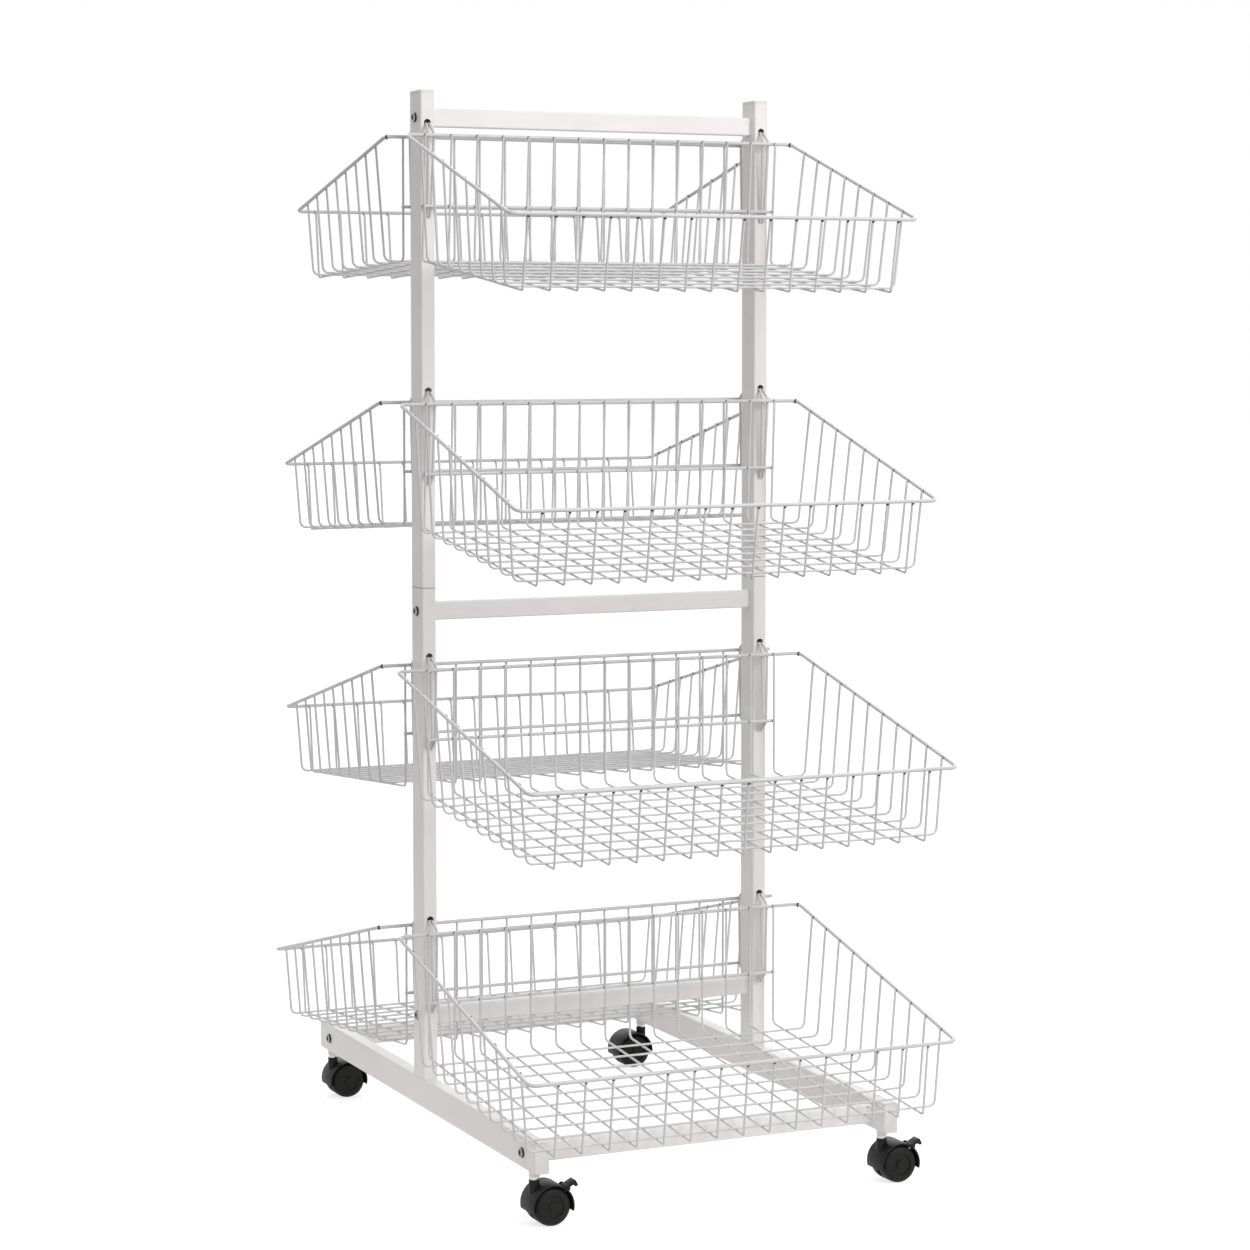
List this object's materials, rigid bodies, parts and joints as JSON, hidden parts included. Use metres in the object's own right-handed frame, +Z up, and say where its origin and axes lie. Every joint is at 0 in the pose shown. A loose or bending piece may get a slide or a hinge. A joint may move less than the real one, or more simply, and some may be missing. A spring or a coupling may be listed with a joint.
{
  "type": "wire basket display stand",
  "caption": "Two-sided shop display stand on casters: a pair of posts with hook holes carries sloping wire baskets that hang back to back and tip up.",
  "frame": {"origin": "on the floor, below the middle of the stand", "axes": "+Z up, +X to the right along the width, +Y from the front baskets to the rear ones"},
  "size_m": [0.6133, 0.969, 1.446],
  "materials": {
    "frame_enamel": "satin paint",
    "wire_enamel": "semi-gloss coat",
    "zinc": "bright zinc",
    "plain_steel": "turned",
    "black_plastic": "moulded",
    "black_tread": "moulded",
    "grey_plastic": "moulded"
  },
  "bodies": {
    "stand": {"base_rail_front": "frame_enamel", "base_rail_rear": "frame_enamel", "caster_sockets": "frame_enamel", "caster_stems": "zinc", "foot_left": "frame_enamel", "foot_plugs": "grey_plastic", "foot_right": "frame_enamel", "post_joiner_left": "frame_enamel", "post_joiner_right": "frame_enamel", "post_lower_left": "frame_enamel", "post_lower_right": "frame_enamel", "post_plugs": "grey_plastic", "post_upper_left": "frame_enamel", "post_upper_right": "frame_enamel", "rail_bolts": "zinc", "rail_bottom": "frame_enamel", "rail_inserts": "plain_steel", "rail_middle": "frame_enamel", "rail_top": "frame_enamel"},
    "basket_front_1": {"basket_front_1_cross_wires": "wire_enamel", "basket_front_1_frame": "wire_enamel", "basket_front_1_run_wires": "wire_enamel"},
    "basket_front_2": {"basket_front_2_cross_wires": "wire_enamel", "basket_front_2_frame": "wire_enamel", "basket_front_2_run_wires": "wire_enamel"},
    "basket_front_3": {"basket_front_3_cross_wires": "wire_enamel", "basket_front_3_frame": "wire_enamel", "basket_front_3_run_wires": "wire_enamel"},
    "basket_front_4": {"basket_front_4_cross_wires": "wire_enamel", "basket_front_4_frame": "wire_enamel", "basket_front_4_run_wires": "wire_enamel"},
    "basket_rear_1": {"basket_rear_1_cross_wires": "wire_enamel", "basket_rear_1_frame": "wire_enamel", "basket_rear_1_run_wires": "wire_enamel"},
    "basket_rear_2": {"basket_rear_2_cross_wires": "wire_enamel", "basket_rear_2_frame": "wire_enamel", "basket_rear_2_run_wires": "wire_enamel"},
    "basket_rear_3": {"basket_rear_3_cross_wires": "wire_enamel", "basket_rear_3_frame": "wire_enamel", "basket_rear_3_run_wires": "wire_enamel"},
    "basket_rear_4": {"basket_rear_4_cross_wires": "wire_enamel", "basket_rear_4_frame": "wire_enamel", "basket_rear_4_run_wires": "wire_enamel"},
    "brake_lever_front_left": {"brake_lever_front_left": "black_plastic"},
    "brake_lever_front_right": {"brake_lever_front_right": "black_plastic"},
    "wheels_front_left": {"caster_axle_front_left": "plain_steel", "caster_wheels_front_left": "black_tread"},
    "wheels_front_right": {"caster_axle_front_right": "plain_steel", "caster_wheels_front_right": "black_tread"},
    "wheels_rear_left": {"caster_axle_rear_left": "plain_steel", "caster_wheels_rear_left": "black_tread"},
    "wheels_rear_right": {"caster_axle_rear_right": "plain_steel", "caster_wheels_rear_right": "black_tread"},
    "swivel_front_left": {"caster_hood_front_left": "black_plastic"},
    "swivel_front_right": {"caster_hood_front_right": "black_plastic"},
    "swivel_rear_left": {"caster_hood_rear_left": "black_plastic"},
    "swivel_rear_right": {"caster_hood_rear_right": "black_plastic"}
  },
  "joints": [
    {"name": "swivel_front_left", "type": "hinge", "parent": "stand", "child": "swivel_front_left", "pos_m": [-0.25, -0.377, 0.05], "axis": [0, 0, 1], "continuous": true},
    {"name": "roll_front_left", "type": "hinge", "parent": "swivel_front_left", "child": "wheels_front_left", "pos_m": [-0.232, -0.377, 0.025], "axis": [0, 1, 0], "continuous": true},
    {"name": "brake_front_left", "type": "hinge", "parent": "swivel_front_left", "child": "brake_lever_front_left", "pos_m": [-0.20864, -0.377, 0.0446], "axis": [0, 1, 0], "range_deg": [0, 20]},
    {"name": "swivel_front_right", "type": "hinge", "parent": "stand", "child": "swivel_front_right", "pos_m": [0.25, -0.377, 0.05], "axis": [0, 0, 1], "continuous": true},
    {"name": "roll_front_right", "type": "hinge", "parent": "swivel_front_right", "child": "wheels_front_right", "pos_m": [0.268, -0.377, 0.025], "axis": [0, 1, 0], "continuous": true},
    {"name": "brake_front_right", "type": "hinge", "parent": "swivel_front_right", "child": "brake_lever_front_right", "pos_m": [0.29136, -0.377, 0.0446], "axis": [0, 1, 0], "range_deg": [0, 20]},
    {"name": "swivel_rear_left", "type": "hinge", "parent": "stand", "child": "swivel_rear_left", "pos_m": [-0.25, 0.377, 0.05], "axis": [0, 0, 1], "continuous": true},
    {"name": "roll_rear_left", "type": "hinge", "parent": "swivel_rear_left", "child": "wheels_rear_left", "pos_m": [-0.232, 0.377, 0.025], "axis": [0, 1, 0], "continuous": true},
    {"name": "swivel_rear_right", "type": "hinge", "parent": "stand", "child": "swivel_rear_right", "pos_m": [0.25, 0.377, 0.05], "axis": [0, 0, 1], "continuous": true},
    {"name": "roll_rear_right", "type": "hinge", "parent": "swivel_rear_right", "child": "wheels_rear_right", "pos_m": [0.232, 0.377, 0.025], "axis": [0, 1, 0], "continuous": true},
    {"name": "tip_front_1", "type": "hinge", "parent": "stand", "child": "basket_front_1", "pos_m": [0, -0.01925, 1.40035], "axis": [-1, 0, 0], "range_deg": [0, 25]},
    {"name": "tip_front_2", "type": "hinge", "parent": "stand", "child": "basket_front_2", "pos_m": [0, -0.01925, 1.04236], "axis": [-1, 0, 0], "range_deg": [0, 25]},
    {"name": "tip_front_3", "type": "hinge", "parent": "stand", "child": "basket_front_3", "pos_m": [0, -0.01925, 0.68437], "axis": [-1, 0, 0], "range_deg": [0, 25]},
    {"name": "tip_front_4", "type": "hinge", "parent": "stand", "child": "basket_front_4", "pos_m": [0, -0.01925, 0.32638], "axis": [-1, 0, 0], "range_deg": [0, 25]},
    {"name": "tip_rear_1", "type": "hinge", "parent": "stand", "child": "basket_rear_1", "pos_m": [0, 0.01925, 1.40035], "axis": [1, 0, 0], "range_deg": [0, 25]},
    {"name": "tip_rear_2", "type": "hinge", "parent": "stand", "child": "basket_rear_2", "pos_m": [0, 0.01925, 1.04236], "axis": [1, 0, 0], "range_deg": [0, 25]},
    {"name": "tip_rear_3", "type": "hinge", "parent": "stand", "child": "basket_rear_3", "pos_m": [0, 0.01925, 0.68437], "axis": [1, 0, 0], "range_deg": [0, 25]},
    {"name": "tip_rear_4", "type": "hinge", "parent": "stand", "child": "basket_rear_4", "pos_m": [0, 0.01925, 0.32638], "axis": [1, 0, 0], "range_deg": [0, 25]}
  ]
}
